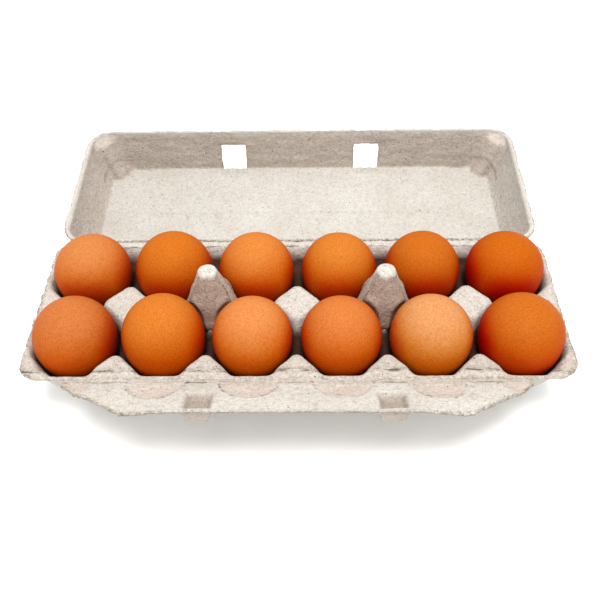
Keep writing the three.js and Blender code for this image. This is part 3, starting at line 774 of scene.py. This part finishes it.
def flap_shell():
    """The flap as two heights over a plan of its own plane, u along the hinge and v away from it. Near the
    hinge the underside lies a little in and even, which leaves room for the shut lid."""
    u_share = np.linspace(-1, 1, FLAP_COLUMNS)[None, :]
    v_share = np.concatenate([[0.0], np.linspace(0.02, 1, FLAP_ROWS)])[:, None]
    row = FLAP_ROOT + (FLAP_MIDDLE - FLAP_ROOT) * v_share
    u = u_share * np.interp(row, OUTLINE_V, OUTLINE_HALF)
    reach = FLAP_MIDDLE + (FLAP_EAR - FLAP_MIDDLE) * smooth_step(np.abs(u), EAR_FROM, EAR_TO)
    v = FLAP_ROOT + (row - FLAP_ROOT) * (reach - FLAP_ROOT) / (FLAP_MIDDLE - FLAP_ROOT)
    half = (FLAP_ROOT + (FLAP_SHEET - FLAP_ROOT) * smooth_step(v, FLAP_ROOT, FLAP_FULL)) / 2
    inside = np.minimum(reach - v, (1 - np.abs(u_share)) * 0.8 * np.interp(row, OUTLINE_V, OUTLINE_HALF))
    bowl, dish = dished(u, v)
    dish = dish * smooth_step(np.abs(u), 121, 110) * (1 - 0.3 * smooth_step(v, 12, 6))
    top = half - DENT_DEPTH * dish - RECESS_DEPTH * button(u, v, 0.1, RECESS_TAPER)
    under = -half - DENT_UNDER * dish - BUTTON_RISE * button(u, v, 0.0, BUTTON_TAPER)
    top = soften(top, 1) - rounded(inside, EDGE_TOP)
    room = 0.35 * smooth_step(v, 2, 4) * smooth_step(v, 12, 7)
    under = np.minimum(soften(under, 1) + rounded(inside, EDGE_UNDER) + room, top - THINNEST)
    lean = np.stack([np.stack([u, -v, h], -1) for h in (top, under)])
    face, back = uneven(lean[0], 201), uneven(lean[1], 231, 0.8)
    steady = smooth_step(v, 1.5, 5.0)[..., None]
    flat_root = steady * smooth_step(v, 5.0, 11.0)[..., None]
    face, back = lean[0] + (face - lean[0]) * steady, lean[1] + (back - lean[1]) * flat_root
    ragged = 0.18 + 0.8 * smooth_step(np.abs(u), EAR_FROM, EAR_TO)
    away = inside + 3 * (1 - smooth_step(v, 2, 5))
    share = (smooth_step(away, 3.0, 0.0) * ragged)[..., None]
    push = [0.6 * lattice_noise(lean[0], 5.0, 251 + k) + 0.5 * lattice_noise(lean[0], 1.8, 255 + k)
            for k in range(3)]
    droop = -EAR_DROOP * smooth_step(np.abs(u), EAR_FROM, EAR_TO) * (v / FLAP_EAR) ** 2
    lifted = []
    for side in (face + share * np.stack(push, -1), back + share * np.stack(push, -1)):
        side[..., 2] += droop
        c, s = math.cos(FLAP_TILT), math.sin(FLAP_TILT)
        y = side[..., 1] * c + side[..., 2] * s + FLAP_HINGE[0] + TRAY_Y
        lifted.append(np.stack([side[..., 0], y, -side[..., 1] * s + side[..., 2] * c + FLAP_HINGE[1]], -1))
    # Painted shade: the dishes are made redder, the button recesses browner and darker, the face of the free
    # edge darker, and the whole underside browner.
    hollow = button(u, v, -0.4, RECESS_TAPER)
    patchy = lattice_noise(lean[0], 9.0, 261)
    ears = smooth_step(np.abs(u), EAR_FROM, EAR_TO)
    tints = {
        "like": top,
        "worn": np.maximum(smooth_step(away, 2.2, 0.2) * (0.35 + 0.65 * ears), 0.3 * hollow),
        "specked": 0.75,
        "warm_shade": 0.8 * smooth_step(bowl + 0.12 * patchy, -0.05, 0.45),
        "brown_shade": 0.40 * hollow,
        "shaded": np.maximum(0.15 * smooth_step(away, 1.3, 0.3), 0.18 * hollow),
        "split": bell(v, 2.6, 0.6) + bell(bowl, 0, 0.06) * smooth_step(patchy, 0.20, 0.45),
    }
    return skin(*lifted), (tints, {"like": top, "worn": smooth_step(away, 2.0, 0.2), "brown_shade": 0.34 + 0 * top})


flap_made, flap_tints = flap_shell()
flap = piece("lock_flap", [flap_made], pulp, [flap_tints])
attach(flap, "flap")
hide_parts("flap")


# ---- Creases ----
# Where the sheet folds it was pressed thin and is still whole, so lid, tray and flap hang together.
# Each crease is a thin strip of the pulp, bent round its hinge line where the lid or flap now stands.

CREASE_STEPS, CREASE_COLUMNS = 25, 300

def crease(name, path, thick, half_x, seed):
    """A strip along x: the path, in y and z, softened and given thickness upwards and downwards at each
    point."""
    path = np.array(path, float)
    way = np.linspace(0, len(path) - 1, CREASE_STEPS)
    y, z = (np.interp(way, np.arange(len(path)), path[:, i]) for i in (0, 1))
    y, z = soften(y, 3, (0,)), soften(z, 3, (0,))
    across = np.stack([-np.gradient(z), np.gradient(y)], -1)
    across = across / np.linalg.norm(across, axis=1, keepdims=True)
    across = across * np.sign(across[:, 1:])
    x = np.linspace(-half_x, half_x, CREASE_COLUMNS)
    wave = 0.12 * lattice_noise(np.stack([x, 0 * x, 0 * x], -1), 3.0, seed)[None, :]
    sides = []
    for sign in (1, -1):
        off = sign * thick / 2 * np.ones((CREASE_STEPS, 1)) + wave
        sides.append(np.stack([x[None, :] + 0 * off, y[:, None] + across[:, :1] * off + TRAY_Y,
                               z[:, None] + across[:, 1:] * off], -1))
    # A little painted warm shade lies all along the crease.
    tints = {"like": 0 * off, "worn": 0.3, "warm_shade": 0.35, "specked": 0.6,
             "split": 0.4 * bell(way, 1, 0.25)[:, None]}
    made = piece(name, [skin(*sides)], pulp, [(tints, tints)])
    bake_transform(made)


lid_z = LID_HINGE[1] - 0.2
crease("lid_crease", [(48.2, lid_z - 1.5), (50.6, lid_z - 1.4), (53.4, lid_z - 1.2)], 0.8, 133.0, 301)
root = [(FLAP_HINGE[0] - d * math.cos(FLAP_TILT), FLAP_HINGE[1] + d * math.sin(FLAP_TILT))
        for d in (0.6, 3.4)]
crease("flap_crease", [(-49.6, FLAP_HINGE[1] + 0.1), (-51.4, FLAP_HINGE[1]), *root], 1.0, 121.0, 311)


# ---- Eggs ----
# Twelve brown hen's eggs, blunt end up, no two quite alike in size, form and shade. The shell is matt to
# satin and finely pitted, with a fine mottling of the brown and here and there a fleck.

EGG_Z = 36.0
EGG_DRAWN_IN = 0.09
EGG_RINGS, EGG_SIDES = 65, 96
EGGS = {
    # name: radius, height above and below the widest plane, colour of the blunt end, share of pale bloom,
    # and how much of the green the painted shade leaves of that colour where the egg nearly meets its
    # neighbour, which also sets how much green is left low down
    "egg_front_1": (22.2, 22.6, 31.6, (0.363, 0.111, 0.0284), 0.25, 0.38),
    "egg_front_2": (22.4, 24.8, 31.8, (0.400, 0.119, 0.0156), 0.05, 0.44),
    "egg_front_3": (21.8, 22.0, 31.4, (0.427, 0.151, 0.0419), 0.20, 0.44),
    "egg_front_4": (21.9, 21.8, 31.2, (0.400, 0.121, 0.0278), 0.15, 0.44),
    "egg_front_5": (22.1, 23.0, 31.6, (0.424, 0.187, 0.0685), 0.30, 0.44),
    "egg_front_6": (22.6, 23.8, 31.9, (0.352, 0.091, 0.0090), 0.10, 0.08),
    "egg_back_1": (22.0, 21.4, 31.2, (0.396, 0.138, 0.0382), 0.25, 0.46),
    "egg_back_2": (22.2, 24.0, 31.7, (0.375, 0.101, 0.0084), 0.05, 0.44),
    "egg_back_3": (21.8, 22.4, 31.4, (0.415, 0.137, 0.0259), 0.10, 0.44),
    "egg_back_4": (21.5, 22.0, 31.3, (0.395, 0.125, 0.0163), 0.10, 0.44),
    "egg_back_5": (21.6, 23.0, 31.2, (0.346, 0.088, 0.0071), 0.10, 0.32),
    "egg_back_6": (22.1, 21.8, 31.5, (0.348, 0.080, 0.0037), 0.05, 0.14),
}


def shell_material(name, shade, bloom, green):
    """One egg's shell: its own brown, with painted shade that makes it deeper from the blunt end down to
    the widest part and redder low down and where it nearly meets a neighbour, and with a faint pale bloom in
    broad soft clouds, a fine mottling, darker pores at the middles of small cells, and a shallow dimpled
    relief."""
    made = bpy.data.materials.new(name + "_shell")
    add = nodes_of(made)
    place = add("ShaderNodeTexCoord").outputs["Object"]
    # Painted shade: from the blunt end down the shell is made deeper, losing its blue towards the widest part
    # and going redder low down, and it is made redder still where it nearly meets a neighbour.
    deep = (shade[0] * 0.99, shade[1] * 0.50, shade[2] * 0.02, 1)
    pale = (shade[0] * 1.08, shade[1] * 1.30, shade[2] * 1.6 + 0.004, 1)
    height = add("ShaderNodeSeparateXYZ", {0: place}).outputs["Z"]
    broad = blotches(add, place, 16.0, 3.0)
    height = add("ShaderNodeMath", {0: broad, 1: 0.005, 2: height}, operation="MULTIPLY_ADD").outputs[0]
    down = between(add, height, (EGG_Z + 7) * MM, (EGG_Z + 23) * MM, 1.0, 0.0)
    colour = tinted(add, down, (*shade, 1), deep)
    mid_shade = between(add, height, (EGG_Z + 9) * MM, (EGG_Z + 20) * MM, 1.0, 0.0)
    colour = tinted(add, mid_shade, colour, (1.0, 0.98, 0.30, 1), "MULTIPLY")
    low = between(add, height, (EGG_Z - 4) * MM, (EGG_Z + 12) * MM, 1.0, 0.0)
    colour = tinted(add, low, colour, (1.05, 0.36 + 1.2 * green, 0.06, 1), "MULTIPLY")
    neighbour_shade = add("ShaderNodeAttribute", attribute_name="warm_shade").outputs["Fac"]
    colour = tinted(add, neighbour_shade, colour, (0.90, green, 0.04, 1), "MULTIPLY")
    mottle = between(add, blotches(add, place, 0.8, 3.0, 0.0, 0.6), 0.40, 0.62)
    colour = tinted(add, times(add, mottle, 0.58), colour, (0.70, 0.52, 0.35, 1), "MULTIPLY")
    clouds = between(add, blotches(add, place, 2.6, 5.0, 0.0, 0.65), 0.36, 0.70)
    above = between(add, height, (EGG_Z + 4) * MM, (EGG_Z + 18) * MM, 0.05, 1.0)
    colour = tinted(add, times(add, times(add, clouds, above), bloom), colour, pale)
    cells = add("ShaderNodeTexVoronoi", {"Vector": place, "Scale": 1 / (1.5 * MM)})
    pore = between(add, cells.outputs["Distance"], 0.05, 0.24, 1.0, 0.0)
    colour = tinted(add, times(add, pore, 0.64), colour, (0.50, 0.34, 0.22, 1), "MULTIPLY")
    grain = blotches(add, place, 0.7, 3.0)
    relief = add("ShaderNodeMath", {0: pore, 1: -0.6, 2: grain}, operation="MULTIPLY_ADD").outputs[0]
    bump = add("ShaderNodeBump", {"Strength": 0.40, "Distance": 0.00014, "Height": relief}).outputs[0]
    rough = between(add, grain, 0.3, 0.7, 0.48, 0.62)
    shader = add("ShaderNodeBsdfPrincipled", {"Base Color": colour, "Roughness": rough, "Normal": bump})
    shader.inputs["Specular IOR Level"].default_value = 0.02
    add("ShaderNodeOutputMaterial", {"Surface": shader.outputs[0]})
    return made


def egg_shell(radius, up, down, x, y, seed):
    """An egg as rings from its point to its blunt end: radius cos t, drawn in towards the point by a share
    that grows as sin^2 t, and a height of sin t times the reach up or down. Each is a little out of round.
    It also marks where the egg nearly meets a neighbour, where painted shade makes the shell redder."""
    t = np.linspace(-math.pi / 2, math.pi / 2, EGG_RINGS)[:, None]
    around = np.linspace(0, 2 * math.pi, EGG_SIDES, endpoint=False)[None, :]
    low = np.maximum(0, -np.sin(t))
    ring = radius * np.cos(t) * (1 - EGG_DRAWN_IN * low * low)
    ring[[0, -1]] = 0
    rng = np.random.default_rng(seed)
    turn = rng.uniform(0, 2 * math.pi)
    oval = 1 + 0.004 * np.cos(2 * (around - turn))
    z = EGG_Z + np.sin(t) * np.where(t < 0, down, up) + 0 * around
    shell = np.stack([x + ring * oval * np.cos(around), y + ring * oval * np.sin(around), z], -1)
    index = np.arange(EGG_RINGS * EGG_SIDES).reshape(EGG_RINGS, EGG_SIDES)
    index = np.concatenate([index, index[:, :1]], axis=1)
    corners = [index[:-1, :-1], index[:-1, 1:], index[1:, 1:], index[1:, :-1]]
    faces = np.stack([c.ravel() for c in corners], -1)
    points = shell.reshape(-1, 3)
    rise = 0.10 * lattice_noise(points, 16.0, seed) + 0.03 * lattice_noise(points, 6.0, seed + 1)
    out = points - [x, y, EGG_Z]
    out = out / np.linalg.norm(out, axis=1, keepdims=True)
    points = points + out * (rise - 0.1)[:, None]
    beside = np.where(x + PITCH_X * np.sign(out[:, 0]) < COLUMNS / 2 * PITCH_X, np.abs(out[:, 0]), 0)
    beside = np.where(x + PITCH_X * np.sign(out[:, 0]) > -COLUMNS / 2 * PITCH_X, beside, 0)
    meeting = np.maximum(beside, out[:, 1] * np.sign(TRAY_Y - y))
    neighbour_shade = smooth_step(meeting, 0.62, 0.95) * smooth_step(points[:, 2], EGG_Z + 20, EGG_Z + 4)
    return (points, turned_outwards(points, faces)), {"like": neighbour_shade, "warm_shade": neighbour_shade}


for number, (name, (radius, up, down, shade, bloom, green)) in enumerate(EGGS.items()):
    column, back_row = number % COLUMNS, number // COLUMNS
    x = (column - (COLUMNS - 1) / 2) * PITCH_X
    y = (back_row - 0.5) * PITCH_Y + TRAY_Y
    egg_made, egg_tint = egg_shell(radius, up, down, x, y, 401 + number)
    egg = piece(name + "_shell", [egg_made], shell_material(name, shade, bloom, green), [(egg_tint,)])
    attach(egg, "tray")
    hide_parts(name)


# ---- Floor, light and camera ----
# A plain pale floor and one soft light above the carton and a little in front of it, in an even white room,
# bright enough to keep the floor white.
# The camera stands in front and looks down at 49 degrees, as the photograph was taken.


def floor_material():
    """Matt white board with the faintest mottling."""
    made = bpy.data.materials.new("pale_floor")
    add = nodes_of(made)
    place = add("ShaderNodeTexCoord").outputs["Object"]
    cloud = between(add, blotches(add, place, 60.0, 2.0), 0.3, 0.7)
    colour = tinted(add, cloud, (0.90, 0.90, 0.895, 1), (0.93, 0.93, 0.925, 1))
    shader = add("ShaderNodeBsdfPrincipled", {"Base Color": colour})
    shader.inputs["Roughness"].default_value = 0.9
    add("ShaderNodeOutputMaterial", {"Surface": shader.outputs[0]})
    return made


FLOOR_HALF = 4.0
floor_mesh = bpy.data.meshes.new("floor")
floor_corners = [(-FLOOR_HALF, -FLOOR_HALF, 0), (FLOOR_HALF, -FLOOR_HALF, 0), (FLOOR_HALF, FLOOR_HALF, 0),
                 (-FLOOR_HALF, FLOOR_HALF, 0)]
floor_mesh.from_pydata(floor_corners, [], [(0, 1, 2, 3)])
floor_mesh.materials.append(floor_material())
floor = bpy.data.objects.new("floor", floor_mesh)
bpy.context.scene.collection.objects.link(floor)

room = bpy.data.worlds.new("white_room")
room.use_nodes = True
room.node_tree.nodes["Background"].inputs["Color"].default_value = (1.0, 0.997, 0.99, 1)
room.node_tree.nodes["Background"].inputs["Strength"].default_value = 1.20
bpy.context.scene.world = room
bpy.context.scene.view_settings.view_transform = "Standard"

softbox = bpy.data.lights.new("overhead_softbox", "AREA")
softbox.shape = "RECTANGLE"
softbox.size, softbox.size_y = 0.85, 0.6
softbox.energy = 20.5
softbox.color = (1.0, 0.985, 0.96)
overhead = bpy.data.objects.new("overhead_softbox", softbox)
overhead.location = (0.05, -0.16, 1.24)
aim = Vector((0.0, -0.03, 0.03)) - overhead.location
overhead.rotation_euler = aim.to_track_quat("-Z", "Y").to_euler()
bpy.context.scene.collection.objects.link(overhead)

CAMERA_AT = Vector((7.918, TRAY_Y - 257.385, 333.209)) * MM
LOOK_DOWN, LOOK_ASIDE, ROLL = 0.8549, 0.02485, -0.02359
turned = Matrix.Rotation(LOOK_ASIDE, 3, "Z")
ahead = turned @ Vector((0, math.cos(LOOK_DOWN), -math.sin(LOOK_DOWN)))
upward = turned @ Vector((0, math.sin(LOOK_DOWN), math.cos(LOOK_DOWN)))
rightward = turned @ Vector((1, 0, 0))
right = math.cos(ROLL) * rightward + math.sin(ROLL) * upward
up = math.cos(ROLL) * upward - math.sin(ROLL) * rightward
lens = bpy.data.cameras.new("camera")
lens.lens = 42.0
camera = bpy.data.objects.new("camera", lens)
camera.matrix_world = Matrix.Translation(CAMERA_AT) @ Matrix((right, up, -ahead)).transposed().to_4x4()
lens.clip_start = 0.01
bpy.context.scene.collection.objects.link(camera)
bpy.context.scene.camera = camera

bpy.context.view_layer.update()
